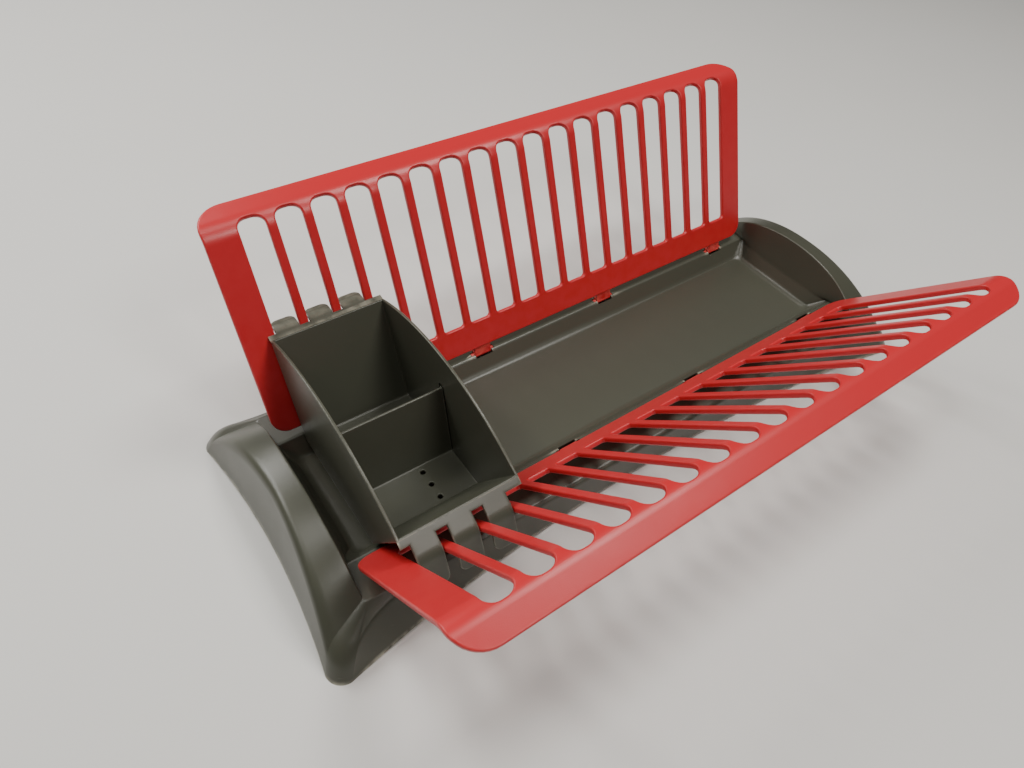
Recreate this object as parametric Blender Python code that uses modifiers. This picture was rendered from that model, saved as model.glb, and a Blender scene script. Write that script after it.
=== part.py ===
"""Dish drainer of moulded plastic.

A drip tray stands on four feet that its arched ends come down to. Two plate grilles with a bent-over
lip turn on pins in the tray's rims, and a cutlery holder hangs between them by slotted flanges.
Metres, +Z up, +X along the drainer, +Y to the back. The origin is on the ground, in the middle of the
drainer's outline seen from above.
"""

import math

import bmesh
import bpy
from mathutils import Matrix, Vector

# Grilles: two alike plates of upright bars
bar_pitch = 0.022
bar_width = 0.0058
slot_count = 18
stile_width = 0.0203
rail_width = 0.0202
plate_thickness = 0.0037
edge_chamfer = 0.0006
rail_to_bend = 0.1257
bend_radius = 0.014
bend_angle = math.radians(60)
lip_length = 0.0115
lip_web = 0.0158
lip_corner = 0.018
rail_corner = 0.011
slot_top_round = 0.0068
slot_foot_round = 0.0025
rear_lean = math.radians(22.84)
front_lean = math.radians(44.26)

# Hinges: lugs under each grille's rail, with pins in cradles under the tray's rim
hinge_spread = 0.1044
hinge_height = 0.0259
lug_drop = 0.006
lug_setback = 0.004
lug_width = 0.0134
lug_root_share = 0.25
lug_inner_place = 0.058
lug_outer_place = 0.184
barrel_radius = 0.0022
barrel_start = math.radians(195)
barrel_sweep = math.radians(180)
pin_radius = 0.0016
pin_reach = 0.0026
pin_clearance = 0.0003
notch_clearance = 0.0004
notch_depth = 0.0074
notch_inset = 0.0043
cradle_width = 0.005
cradle_depth = 0.008
cradle_drop = 0.0062
cradle_bury = 0.0008

# Tray: one shell with a well, two rims, a skirt and two arched ends
tray_wall = 0.0024
well_floor_height = 0.016
well_half_length = 0.21
well_half_depth = 0.0405
well_corner = 0.006
rim_height = 0.0275
rim_inner_half = 0.049
rim_outer_half = 0.0755
rim_half_length = 0.2198
end_lean_share = 0.03
arch_height = 0.054
arch_radius = 0.138
ridge_half_length = 0.2368
ridge_flare = 0.0099
ridge_height = 0.0528
ridge_radius = 0.116
nose_height = 0.0135
nose_half_depth = 0.0935
nose_corner = 0.011
nose_round = 0.009
ridge_round = 0.005
skirt_edge_height = 0.0262
skirt_edge_out = 0.0028
edge_round = 0.0022
edge_room_share = 0.8
side_half_length = 0.246
side_flare = 0.0075
skirt_half_depth = 0.079
skirt_flare = 0.0213
foot_corner = 0.0105
skirt_lift = 0.0024
foot_pad_radius = 0.0085
foot_pad_height = 0.004
foot_pad_inset = 0.0108

# Cutlery holder: a V-shaped box of two compartments between the grilles
holder_width = 0.0755
holder_offset = 0.0155
holder_wall = 0.0018
holder_floor = 0.0018
holder_base_height = 0.0295
holder_base_front = 0.047
holder_base_rear = 0.0415
holder_front_reach = 0.0805
holder_front_height = 0.0795
holder_rear_reach = 0.0715
holder_rear_height = 0.0932
holder_arch_radius = 0.169
holder_corner = 0.003
divider_wall = 0.0016
divider_foot_place = 0.0149
divider_top_place = 0.0025
divider_height = 0.0794
flange_thickness = 0.0018
flange_set_in_share = 0.6
flange_sink = 0.00015
bar_clearance = 0.0004
front_flange_slope = math.radians(36)
front_flange_root = 0.0053
front_flange_run = 0.011
front_flange_bend = math.radians(32)
front_flange_turn = 0.016
front_flange_tail = 0.0165
rear_flange_slope = math.radians(-10)
rear_flange_root = 0.005
rear_flange_run = 0.0066
rear_flange_bend = math.radians(22)
rear_flange_turn = 0.016
rear_flange_tail = 0.004
tongue_count = 3
tongue_round = 0.0045
notch_round = 0.001
drain_radius = 0.0016
drain_pitch = 0.0105
drain_count = 3
drain_inset = 0.0263

# How finely round stretches are divided, and how far cutters run past what they cut
corner_steps = 5
slot_steps = 4
tongue_steps = 4
floor_corner_steps = 3
arch_steps = 14
bend_steps = 6
barrel_steps = 8
pin_sides = 16
pad_sides = 24
drain_sides = 8
overrun = 0.002
ground_depth = 0.01
weld_gap = 0.000003
flat_angle = math.radians(1)
chamfered_angle = math.radians(60)
shading_angle = math.radians(35)

# Sizes that follow
slot_width = bar_pitch - bar_width
grille_length = 2 * stile_width + slot_count * bar_pitch - bar_width
sheet_length = rail_to_bend + bend_radius * bend_angle + lip_length
hinge_half = hinge_spread / 2
notch_width = lug_width + 2 * notch_clearance
cradle_span = lug_width + 2 * (pin_reach + notch_clearance)


def reach_and_rise(lean):
    """The farthest reach outward of a leaning grille's lip, and the lean's effect on it."""
    along = lug_drop + rail_to_bend
    heading = lean + bend_angle
    centre_out = along * math.sin(lean) - lug_setback * math.cos(lean) + bend_radius * math.cos(lean)
    tip_out = centre_out - bend_radius * math.cos(heading) + lip_length * math.sin(heading)
    return hinge_half + max(tip_out, tip_out + plate_thickness * math.cos(heading))


tray_place = (reach_and_rise(front_lean) - reach_and_rise(rear_lean)) / 2


def clear_scene():
    for old in list(bpy.data.objects):
        bpy.data.objects.remove(old, do_unlink=True)


def new_collection(name):
    made = bpy.data.collections.new(name)
    bpy.context.scene.collection.children.link(made)
    return made


def plastic(name, colour, roughness):
    made = bpy.data.materials.new(name)
    made.use_nodes = True
    shader = made.node_tree.nodes["Principled BSDF"]
    shader.inputs["Base Color"].default_value = (*colour, 1)
    shader.inputs["Roughness"].default_value = roughness
    shader.inputs["Metallic"].default_value = 0
    made.diffuse_color = (*colour, 1)
    return made


clear_scene()
drainer = new_collection("dish_drainer")
cutters = new_collection("cutters")
cutters.hide_render = True
grey_plastic = plastic("grey_plastic", (0.055, 0.055, 0.05), 0.45)
red_plastic = plastic("red_plastic", (0.62, 0.035, 0.03), 0.38)


def empty(name, place, turn, parent=None):
    made = bpy.data.objects.new(name, None)
    made.location = place
    made.rotation_euler = turn
    made.empty_display_size = rail_width
    made.parent = parent
    drainer.objects.link(made)
    return made


def add_part(name, mesh, material, parent):
    mesh.name = name
    mesh.materials.clear()
    mesh.materials.append(material)
    made = bpy.data.objects.new(name, mesh)
    made.parent = parent
    drainer.objects.link(made)
    return made


def add_tool(target, operation, mesh, name):
    """A helper solid that a Boolean adds to a part or takes from it."""
    tool = bpy.data.objects.new(name, mesh)
    tool.parent = target.parent
    tool.hide_render = True
    tool.display_type = "WIRE"
    cutters.objects.link(tool)
    step = target.modifiers.new(name, "BOOLEAN")
    step.operation = operation
    step.solver = "EXACT"
    step.object = tool
    return tool


def box_mesh(low, high):
    """A box between two corners."""
    shape = bmesh.new()
    bmesh.ops.create_cube(shape, size=1)
    size = [top - bottom for bottom, top in zip(low, high)]
    middle = [(top + bottom) / 2 for bottom, top in zip(low, high)]
    bmesh.ops.transform(
        shape, matrix=Matrix.Translation(middle) @ Matrix.Diagonal((*size, 1)), verts=shape.verts
    )
    return finished(shape)


def rod_mesh(radius, length, place, axis, sides):
    """A round bar of a length about a place, along X or along Z."""
    shape = bmesh.new()
    bmesh.ops.create_cone(
        shape, cap_ends=True, segments=sides, radius1=radius, radius2=radius, depth=length
    )
    turn = Matrix.Rotation(math.pi / 2, 4, "Y") if axis == "X" else Matrix.Identity(4)
    bmesh.ops.transform(shape, matrix=Matrix.Translation(place) @ turn, verts=shape.verts)
    return finished(shape)


def finished(shape):
    mesh = bpy.data.meshes.new("shape")
    shape.to_mesh(mesh)
    shape.free()
    return mesh


def rounded(corners, steps):
    """An outline's points from its corners, each (x, y, radius), run round in either sense."""
    points = []
    count = len(corners)
    for i, (x, y, radius) in enumerate(corners):
        here = Vector((x, y))
        before = (Vector(corners[i - 1][:2]) - here).normalized()
        after = (Vector(corners[(i + 1) % count][:2]) - here).normalized()
        half = before.angle(after) / 2
        if radius <= 0:
            points.append(here)
            continue
        centre = here + (before + after).normalized() * (radius / math.sin(half))
        start = here + before * (radius / math.tan(half)) - centre
        sweep = start.angle_signed(here + after * (radius / math.tan(half)) - centre)
        for j in range(steps + 1):
            points.append(centre + Matrix.Rotation(-sweep * j / steps, 2) @ start)
    return points


def outline_mesh(outlines, thickness):
    """Plates of a thickness from closed outlines in X and Y, about the height zero."""
    outline = bpy.data.curves.new("outline", "CURVE")
    outline.dimensions = "2D"
    outline.fill_mode = "BOTH"
    outline.extrude = thickness / 2
    for points in outlines:
        loop = outline.splines.new("POLY")
        loop.points.add(len(points) - 1)
        for spot, (x, y) in zip(loop.points, points):
            spot.co = (x, y, 0, 1)
        loop.use_cyclic_u = True
    holder = bpy.data.objects.new("outline", outline)
    cutters.objects.link(holder)
    graph = bpy.context.evaluated_depsgraph_get()
    mesh = bpy.data.meshes.new_from_object(holder.evaluated_get(graph))
    bpy.data.objects.remove(holder)
    bpy.data.curves.remove(outline)
    shape = bmesh.new()
    shape.from_mesh(mesh)
    bpy.data.meshes.remove(mesh)
    bmesh.ops.remove_doubles(shape, verts=shape.verts, dist=weld_gap)
    bmesh.ops.recalc_face_normals(shape, faces=shape.faces)
    return finished(shape)


def blank_mesh(outline, holes, thickness, chamfer):
    """A flat blank with holes and chamfered edges, from outlines, with its lower face at zero."""
    blank = bpy.data.objects.new("blank", outline_mesh([outline], thickness))
    cutters.objects.link(blank)
    if holes:
        punch = bpy.data.objects.new("punch", outline_mesh(holes, thickness + 2 * overrun))
        cutters.objects.link(punch)
        cut = blank.modifiers.new("punch", "BOOLEAN")
        cut.solver = "EXACT"
        cut.object = punch
    graph = bpy.context.evaluated_depsgraph_get()
    mesh = bpy.data.meshes.new_from_object(blank.evaluated_get(graph))
    for used in [blank] + ([punch] if holes else []):
        bpy.data.objects.remove(used)
    shape = bmesh.new()
    shape.from_mesh(mesh)
    bpy.data.meshes.remove(mesh)
    bmesh.ops.dissolve_limit(
        shape, angle_limit=flat_angle, use_dissolve_boundaries=False, verts=shape.verts, edges=shape.edges
    )
    if chamfer:
        edges = [edge for edge in shape.edges if edge.calc_face_angle(0) > chamfered_angle]
        level = [edge for edge in edges if abs(edge.verts[0].co.z - edge.verts[1].co.z) < thickness / 2]
        bmesh.ops.bevel(
            shape,
            geom=level,
            offset=chamfer,
            offset_type="OFFSET",
            segments=1,
            profile=0.5,
            affect="EDGES",
            material=-1,
        )
    bmesh.ops.translate(shape, vec=(0, 0, thickness / 2), verts=shape.verts)
    bmesh.ops.recalc_face_normals(shape, faces=shape.faces)
    return shape


def path_place(path, along, depth):
    """A point of a formed sheet, level and up, from its distance along the sheet and into its thickness.

    The path is a start of (level, up, heading from upright), and stretches of (length, turn).
    """
    out, up, heading = path[0]
    place = Vector((out, up))
    for length, turn in path[1]:
        last = (length, turn) == path[1][-1]
        run = along if last else min(along, length)
        if turn:
            radius = length / turn
            swept = turn * run / length
            centre = place + radius * Vector((math.cos(heading), -math.sin(heading)))
            heading += swept
            place = centre - radius * Vector((math.cos(heading), -math.sin(heading)))
        else:
            place = place + run * Vector((math.sin(heading), math.cos(heading)))
        along -= run
        if along <= 0 and not last:
            break
    return place + depth * Vector((math.cos(heading), -math.sin(heading)))


def form_sheet(shape, path):
    """Cuts a flat blank across its bends, bends it along a path, and stands it in the Y and Z plane."""
    stations = [0]
    for length, turn in path[1]:
        steps = bend_steps if turn else 1
        start = stations[-1]
        stations += [start + length * (i + 1) / steps for i in range(steps)]
    for place in stations[1:-1]:
        bmesh.ops.bisect_plane(
            shape,
            geom=shape.verts[:] + shape.edges[:] + shape.faces[:],
            plane_co=(0, place, 0),
            plane_no=(0, 1, 0),
            dist=weld_gap,
        )
    for spot in shape.verts:
        last = sum(1 for place in stations[1:-1] if place <= spot.co.y)
        share = (spot.co.y - stations[last]) / (stations[last + 1] - stations[last])
        near = path_place(path, stations[last], spot.co.z)
        far = path_place(path, stations[last + 1], spot.co.z)
        spot.co = (spot.co.x, *near.lerp(far, share))
    bmesh.ops.recalc_face_normals(shape, faces=shape.faces)


def rectangle(left, right, low, high, low_round, high_round):
    """The four corners of a rectangle, each with its radius."""
    corners = [(left, low, low_round), (right, low, low_round)]
    return corners + [(right, high, high_round), (left, high, high_round)]


def slot_left(index):
    """The X of a slot's left side, in a grille whose middle is at zero."""
    return -grille_length / 2 + stile_width + index * bar_pitch


def grille(name, lean, turn_about, parent):
    """One plate grille, on an empty whose X axis is the line of its hinge pins."""
    side = math.copysign(hinge_half, math.cos(turn_about))
    pivot = empty(name + "_pivot", (0, side, hinge_height), (-lean, 0, turn_about), parent)
    half = grille_length / 2
    outline = rounded(rectangle(-half, half, 0, sheet_length, rail_corner, lip_corner), corner_steps)
    slots = []
    slot_top = sheet_length - lip_web
    for i in range(slot_count):
        left = slot_left(i)
        hole = rectangle(left, left + slot_width, rail_width, slot_top, slot_foot_round, slot_top_round)
        slots.append(rounded(hole, slot_steps))
    shape = blank_mesh(outline, slots, plate_thickness, edge_chamfer)
    path = (
        (-lug_setback, lug_drop, 0),
        [(rail_to_bend, 0), (bend_radius * bend_angle, bend_angle), (lip_length, 0)],
    )
    form_sheet(shape, path)
    plate = add_part(name, finished(shape), red_plastic, pivot)
    places = (-lug_outer_place, -lug_inner_place, lug_inner_place, lug_outer_place)
    for i, place in enumerate(places):
        add_tool(plate, "UNION", lug_mesh(place), f"{name}_lug_{i + 1}")
        pin = rod_mesh(pin_radius, lug_width + 2 * pin_reach, (place, 0, 0), "X", pin_sides)
        add_tool(plate, "UNION", pin, f"{name}_pin_{i + 1}")
    return plate


def lug_mesh(place):
    """A lug: a tab from the rail that narrows to a round barrel on the pin's line."""
    inner = -lug_setback + edge_chamfer / 2
    outer = -lug_setback + plate_thickness - edge_chamfer / 2
    top = lug_drop + rail_width * lug_root_share
    points = [Vector((outer, top)), Vector((inner, top)), Vector((inner, lug_drop))]
    for i in range(barrel_steps + 1):
        angle = barrel_start + barrel_sweep * i / barrel_steps
        points.append(Vector((barrel_radius * math.cos(angle), barrel_radius * math.sin(angle))))
    points.append(Vector((outer, lug_drop)))
    return side_profile_mesh(points, place - lug_width / 2, place + lug_width / 2)


def side_profile_mesh(points, left, right):
    """A solid with a side view of (y, z) points, between two places along X."""
    shape = bmesh.new()
    face = shape.faces.new([shape.verts.new((left, y, z)) for y, z in points])
    grown = bmesh.ops.extrude_face_region(shape, geom=[face])
    moved = [item for item in grown["geom"] if isinstance(item, bmesh.types.BMVert)]
    bmesh.ops.translate(shape, vec=(right - left, 0, 0), verts=moved)
    bmesh.ops.recalc_face_normals(shape, faces=shape.faces)
    return finished(shape)


# Tray: shares that place the points along a quarter of each loop and across its rounded edge
long_shares = (0, 0.3, 0.55, 0.72, 0.84, 0.92, 0.97, 1)
short_shares = (1, 0.9, 0.78, 0.64, 0.48, 0.32, 0.16, 0)
round_shares = (0, 0.33, 0.67, 1)
corner_arc_steps = 4
flare_power = 2.2
ridge_power = 1.6
foot_power = 7
edge_power = 14


def quarter_loop(half_length, half_depth, corner, long_side, short_side):
    """A quarter of a loop round the tray, from the middle of the long side to the middle of the end.

    long_side and short_side give (shift, height) at a share of the way from the middle to the corner:
    the shift moves a long side's point in Y and an end's point in X.
    """
    points = []
    for share in long_shares:
        shift, height = long_side(share)
        points.append(Vector(((half_length - corner) * share, half_depth + shift, height)))
    long_end = points[-1]
    shift, height = short_side(1)
    short_start = Vector((half_length + shift, half_depth - corner, height))
    for i in range(1, corner_arc_steps):
        turn = math.pi / 2 * i / corner_arc_steps
        x = long_end.x + (short_start.x - long_end.x) * math.sin(turn)
        y = short_start.y + (long_end.y - short_start.y) * math.cos(turn)
        z = long_end.z + (short_start.z - long_end.z) * i / corner_arc_steps
        points.append(Vector((x, y, z)))
    for share in short_shares:
        shift, height = short_side(share)
        points.append(Vector((half_length + shift, (half_depth - corner) * share, height)))
    return points


def arc_at(top, radius, y):
    """The height of an arc over the middle plane, from its top and radius."""
    return top - radius + math.sqrt(radius**2 - y**2)


def tray_loops():
    """The loops of the tray's outer face, from the skirt's foot over the top and down to the well's floor."""

    def foot_long(share):
        return skirt_flare * (share**flare_power - 1), skirt_lift * (1 - share**foot_power)

    def foot_short(share):
        return side_flare * (share**2 - 1), skirt_lift * (1 - share**foot_power)

    def edge_long(share):
        out = rim_outer_half + skirt_edge_out - nose_half_depth
        fall = skirt_edge_height - nose_height
        return out * (1 - share**edge_power), nose_height + fall * (1 - share**edge_power)

    def edge_short(share):
        height = arc_at(ridge_height, ridge_radius, (nose_half_depth - nose_corner) * share)
        return ridge_flare * (share**ridge_power - 1), height

    def rim_short(share):
        arch = arc_at(arch_height, arch_radius, (rim_outer_half - edge_round) * share)
        height = arch + (rim_height - arch) * share**foot_power
        return end_lean_share * (height - rim_height), height

    def rim_level(share):
        return 0, rim_height

    def floor_level(share):
        return 0, well_floor_height

    foot = quarter_loop(
        side_half_length + side_flare, skirt_half_depth + skirt_flare, foot_corner, foot_long, foot_short
    )
    edge = quarter_loop(ridge_half_length + ridge_flare, nose_half_depth, nose_corner, edge_long, edge_short)
    rim = quarter_loop(rim_half_length, rim_outer_half, edge_round, rim_level, rim_short)
    inner = quarter_loop(rim_half_length, rim_inner_half, edge_round, rim_level, rim_level)
    floor = quarter_loop(well_half_length, well_half_depth, well_corner, floor_level, floor_level)
    return [foot, *rounded_edge(foot, edge, rim), rim, inner, floor]


def rounded_edge(foot, edge, rim):
    """Loops that round the edge under the top: tight along the skirt, full at the nose, softer between."""
    radii = [edge_round + (nose_round - edge_round) * share**edge_power for share in long_shares]
    radii += [nose_round] * (corner_arc_steps - 1)
    radii += [ridge_round + (nose_round - ridge_round) * share**2 for share in short_shares]
    made = [[] for share in round_shares]
    for below, corner, above, radius in zip(foot, edge, rim, radii):
        reach = min(radius, (above - corner).length * edge_room_share)
        down = corner + (below - corner).normalized() * radius
        over = corner + (above - corner).normalized() * reach
        for loop, share in zip(made, round_shares):
            loop.append(down.lerp(corner, share).lerp(corner.lerp(over, share), share))
    return made


def tray_mesh():
    """A quarter of the tray's face, open at the two middle planes, for Mirror and Solidify."""
    shape = bmesh.new()
    rows = [[shape.verts.new(point) for point in loop] for loop in tray_loops()]
    for lower, upper in zip(rows, rows[1:]):
        for i in range(len(lower) - 1):
            shape.faces.new((lower[i], lower[i + 1], upper[i + 1], upper[i]))
    middle = shape.verts.new((0, 0, well_floor_height))
    shape.faces.new([*rows[-1], middle])
    bmesh.ops.recalc_face_normals(shape, faces=shape.faces)
    if shape.faces[-1].normal.z < 0:
        bmesh.ops.reverse_faces(shape, faces=shape.faces)
    return finished(shape)


def base_tray(parent):
    tray = add_part("base_tray", tray_mesh(), grey_plastic, parent)
    mirror = tray.modifiers.new("both_ways", "MIRROR")
    mirror.use_axis = (True, True, False)
    mirror.use_clip = True
    mirror.merge_threshold = weld_gap
    shell = tray.modifiers.new("wall", "SOLIDIFY")
    shell.thickness = tray_wall
    shell.offset = -1
    shell.use_even_offset = True
    pad_x = side_half_length + side_flare - foot_pad_inset
    pad_y = skirt_half_depth + skirt_flare - foot_pad_inset
    for i, (across, deep) in enumerate(((-1, -1), (1, -1), (1, 1), (-1, 1))):
        spot = (across * pad_x, deep * pad_y, foot_pad_height / 2)
        pad = rod_mesh(foot_pad_radius, foot_pad_height, spot, "Z", pad_sides)
        add_tool(tray, "UNION", pad, f"foot_pad_{i + 1}")
    ground_x = side_half_length + side_flare + ground_depth
    ground_y = skirt_half_depth + skirt_flare + ground_depth
    ground = box_mesh((-ground_x, -ground_y, -ground_depth), (ground_x, ground_y, 0))
    add_tool(tray, "DIFFERENCE", ground, "ground_cut")
    places = (-lug_outer_place, -lug_inner_place, lug_inner_place, lug_outer_place)
    for side_name, side in (("front", -1), ("rear", 1)):
        for i, place in enumerate(places):
            add_cradle(tray, f"{side_name}_{i + 1}", place, side)
    return tray


def add_cradle(tray, name, place, side):
    """A pair of cradle blocks under the rim, a notch for the lug, and seats for its two pins."""
    line = side * hinge_half
    under = rim_height - tray_wall
    for end in (-1, 1):
        near = place + end * notch_width / 2
        far = near + end * cradle_width
        block = box_mesh(
            (min(near, far), line - cradle_depth / 2, under - cradle_drop),
            (max(near, far), line + cradle_depth / 2, under + cradle_bury),
        )
        add_tool(tray, "UNION", block, f"cradle_{name}_{'a' if end < 0 else 'b'}")
    inner = line - side * notch_inset
    outer = inner + side * notch_depth
    notch = box_mesh(
        (place - notch_width / 2, min(inner, outer), under - cradle_drop - overrun),
        (place + notch_width / 2, max(inner, outer), rim_height + overrun),
    )
    add_tool(tray, "DIFFERENCE", notch, f"notch_{name}")
    seat_radius = pin_radius + pin_clearance
    seat = rod_mesh(seat_radius, cradle_span, (place, line, hinge_height), "X", pin_sides)
    add_tool(tray, "DIFFERENCE", seat, f"seat_{name}")
    entry = box_mesh(
        (place - cradle_span / 2, line - seat_radius, hinge_height),
        (place + cradle_span / 2, line + seat_radius, rim_height + overrun),
    )
    add_tool(tray, "DIFFERENCE", entry, f"pin_entry_{name}")


def holder_side(inset, floor_inset, top):
    """The holder's side view, drawn in by a wall. The top is its arch, or a straight cut at a height."""
    rise_front = holder_front_height - holder_base_height
    rise_rear = holder_rear_height - holder_base_height
    front_slope = math.atan2(holder_front_reach - holder_base_front, rise_front)
    rear_slope = math.atan2(holder_rear_reach - holder_base_rear, rise_rear)
    floor = holder_base_height + floor_inset

    def front_at(height):
        across = inset / math.cos(front_slope)
        return -holder_base_front - (height - holder_base_height) * math.tan(front_slope) + across

    def rear_at(height):
        across = inset / math.cos(rear_slope)
        return holder_base_rear + (height - holder_base_height) * math.tan(rear_slope) - across

    high = holder_arch_radius if top is None else top
    corners = [(front_at(floor), floor, holder_corner), (rear_at(floor), floor, holder_corner)]
    corners += [(rear_at(high), high, 0), (front_at(high), high, 0)]
    points = rounded(corners, floor_corner_steps)
    return points[:-2] + arch_points() if top is None else points


def arch_points():
    """Points along the side walls' arched top edge, from the rear corner to the front corner."""
    rear = Vector((holder_rear_reach, holder_rear_height))
    front = Vector((-holder_front_reach, holder_front_height))
    chord = rear - front
    rise = math.sqrt(holder_arch_radius**2 - (chord.length / 2) ** 2)
    centre = (rear + front) / 2 - rise * Vector((-chord.y, chord.x)).normalized()
    start = rear - centre
    sweep = start.angle_signed(front - centre)
    return [centre + Matrix.Rotation(-sweep * i / arch_steps, 2) @ start for i in range(arch_steps + 1)]


def cutlery_holder(parent):
    left = -grille_length / 2 + holder_offset
    right = left + holder_width
    outer = holder_side(0, 0, None)
    holder = add_part("cutlery_holder", side_profile_mesh(outer, left, right), grey_plastic, parent)
    lean = (divider_foot_place - divider_top_place) / (divider_height - holder_base_height)

    def divider_at(height):
        return -divider_foot_place + (height - holder_base_height) * lean

    floor = holder_base_height + holder_floor
    high = holder_arch_radius
    half = divider_wall / 2
    inside = [Vector(point) for point in holder_side(holder_wall, holder_floor, high)]
    for name, sign in (("front", -1), ("rear", 1)):
        pocket = side_profile_mesh(inside, left + holder_wall, right - holder_wall)
        cut = bmesh.new()
        cut.from_mesh(pocket)
        bpy.data.meshes.remove(pocket)
        along = Vector((0, lean, 1)).normalized()
        away = Vector((0, along.z, -along.y)) * sign
        spot = Vector((0, divider_at(floor), floor)) + away * half
        geometry = cut.verts[:] + cut.edges[:] + cut.faces[:]
        halved = bmesh.ops.bisect_plane(cut, geom=geometry, plane_co=spot, plane_no=-away, clear_outer=True)
        rim = [item for item in halved["geom_cut"] if isinstance(item, bmesh.types.BMEdge)]
        bmesh.ops.holes_fill(cut, edges=rim)
        bmesh.ops.recalc_face_normals(cut, faces=cut.faces)
        add_tool(holder, "DIFFERENCE", finished(cut), f"{name}_compartment")
    over_divider = box_mesh(
        (left + holder_wall, divider_at(divider_height) - divider_wall - overrun, divider_height),
        (right - holder_wall, divider_at(high) + divider_wall + overrun, high),
    )
    add_tool(holder, "DIFFERENCE", over_divider, "over_divider")
    front_place = (holder_front_reach, holder_front_height, front_flange_slope)
    front_bends = (front_flange_run, front_flange_turn, front_flange_bend, front_flange_tail)
    front_flange = flange_mesh(left, right, front_place, front_flange_root, front_bends)
    for spot in front_flange.vertices:
        spot.co.y = -spot.co.y
    front_flange.flip_normals()
    add_tool(holder, "UNION", front_flange, "front_flange")
    rear_place = (holder_rear_reach, holder_rear_height, rear_flange_slope)
    rear_bends = (rear_flange_run, rear_flange_turn, rear_flange_bend, rear_flange_tail)
    rear_flange = flange_mesh(left, right, rear_place, rear_flange_root, rear_bends)
    add_tool(holder, "UNION", rear_flange, "rear_flange")
    add_drains(holder, right)
    return holder


def flange_mesh(left, right, place, root, bends):
    """A slotted flange that slopes out from the top of a wall, bends over, and ends in a flat tail."""
    reach, height, slope = place
    run, turn, bend, tail = bends
    inside = holder_wall * flange_set_in_share
    outline = flange_outline(left, right, root, run + turn * bend + tail)
    shape = blank_mesh(outline, [], flange_thickness, 0)
    level = height + inside * math.tan(slope) - flange_sink
    start = (reach - inside, level, math.pi / 2 + slope)
    form_sheet(shape, (start, [(run, 0), (turn * bend, bend), (tail, 0)]))
    return finished(shape)


def flange_outline(left, right, root, length):
    """The flat outline of a flange: a strip, and the tongues that fit the first slots of the grille."""
    corners = [(left, 0, 0), (left, root, 0)]
    for i in range(tongue_count):
        tongue_left = slot_left(i) + bar_clearance
        tongue_right = slot_left(i) + slot_width - bar_clearance
        corners += [(tongue_left, root, notch_round), (tongue_left, length, tongue_round)]
        corners += [(tongue_right, length, tongue_round), (tongue_right, root, notch_round)]
    corners += [(right, root, 0), (right, 0, 0)]
    return rounded(corners, tongue_steps)


def add_drains(holder, right):
    """A row of drain holes through the floor of each compartment, right of the middle."""
    x = right - drain_inset
    depth = holder_floor + 2 * overrun
    level = holder_base_height + holder_floor / 2
    for name, middle in (
        ("front", -(holder_base_front + divider_foot_place) / 2),
        ("rear", (holder_base_rear - divider_foot_place) / 2),
    ):
        for i in range(drain_count):
            y = middle + (i - (drain_count - 1) / 2) * drain_pitch
            hole = rod_mesh(drain_radius, depth, (x, y, level), "Z", drain_sides)
            add_tool(holder, "DIFFERENCE", hole, f"{name}_drain_{i + 1}")


middle = empty("drainer", (0, tray_place, 0), (0, 0, 0))
base_tray(middle)
grille("rear_grille", rear_lean, 0, middle)
grille("front_grille", front_lean, math.pi, middle)
holder_seat = empty("cutlery_holder_lift", (0, 0, 0), (0, 0, 0), middle)
cutlery_holder(holder_seat)
bpy.context.view_layer.update()
for part in drainer.objects:
    if part.type == "MESH":
        part.data.shade_smooth()
        part.data.set_sharp_from_angle(angle=shading_angle)
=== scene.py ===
"""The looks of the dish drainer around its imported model: camera, light, surfaces and finer shapes."""

import math

import bmesh
import bpy
from mathutils import Matrix, Vector


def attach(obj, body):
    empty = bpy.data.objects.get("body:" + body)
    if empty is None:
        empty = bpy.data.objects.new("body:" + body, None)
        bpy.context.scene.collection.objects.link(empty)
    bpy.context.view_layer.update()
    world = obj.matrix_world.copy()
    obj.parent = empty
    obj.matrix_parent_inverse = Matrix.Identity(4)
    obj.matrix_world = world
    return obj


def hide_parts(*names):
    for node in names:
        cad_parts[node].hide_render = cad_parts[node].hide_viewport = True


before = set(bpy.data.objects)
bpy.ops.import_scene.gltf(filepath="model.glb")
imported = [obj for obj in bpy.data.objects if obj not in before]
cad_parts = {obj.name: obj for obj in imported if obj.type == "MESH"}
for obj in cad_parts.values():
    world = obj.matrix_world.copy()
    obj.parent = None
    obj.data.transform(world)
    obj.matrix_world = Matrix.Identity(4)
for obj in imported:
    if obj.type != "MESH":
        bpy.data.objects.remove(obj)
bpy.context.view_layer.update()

# The studio: a plain pale floor, soft lights high on the right, behind and in front, and three small ones
# that give the left end's ridge its bright streak. The camera stands where the photograph was taken, over
# the cutlery end's front corner.
floor_half = 4.0
floor_roughness = 0.6
floor_tones = ((0.72, 0.71, 0.69, 1), (0.77, 0.76, 0.74, 1))
floor_cloud_scale = 3
floor_cloud_detail = 3
noise_breakup = 0.55
camera_place = (-0.2787, -0.2288, 0.4081)
camera_turn = (math.radians(41.914), math.radians(-4.2), math.radians(-35.2295))
sensor_width = 36
lens_length = 25.54
nearest_seen = 0.01
drainer_aim = (0, 0, 0.04)
ridge_aim = (-0.24, 0, 0.05)
band_aim = (-0.23, -0.02, 0.05)
well_aim = (-0.1, 0, 0.04)
warm_light = (1, 0.98, 0.93)
window_tone = (1, 0.99, 0.96)
sky_tone = (1, 0.985, 0.96, 1)
sky_strength = 0.07


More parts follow.
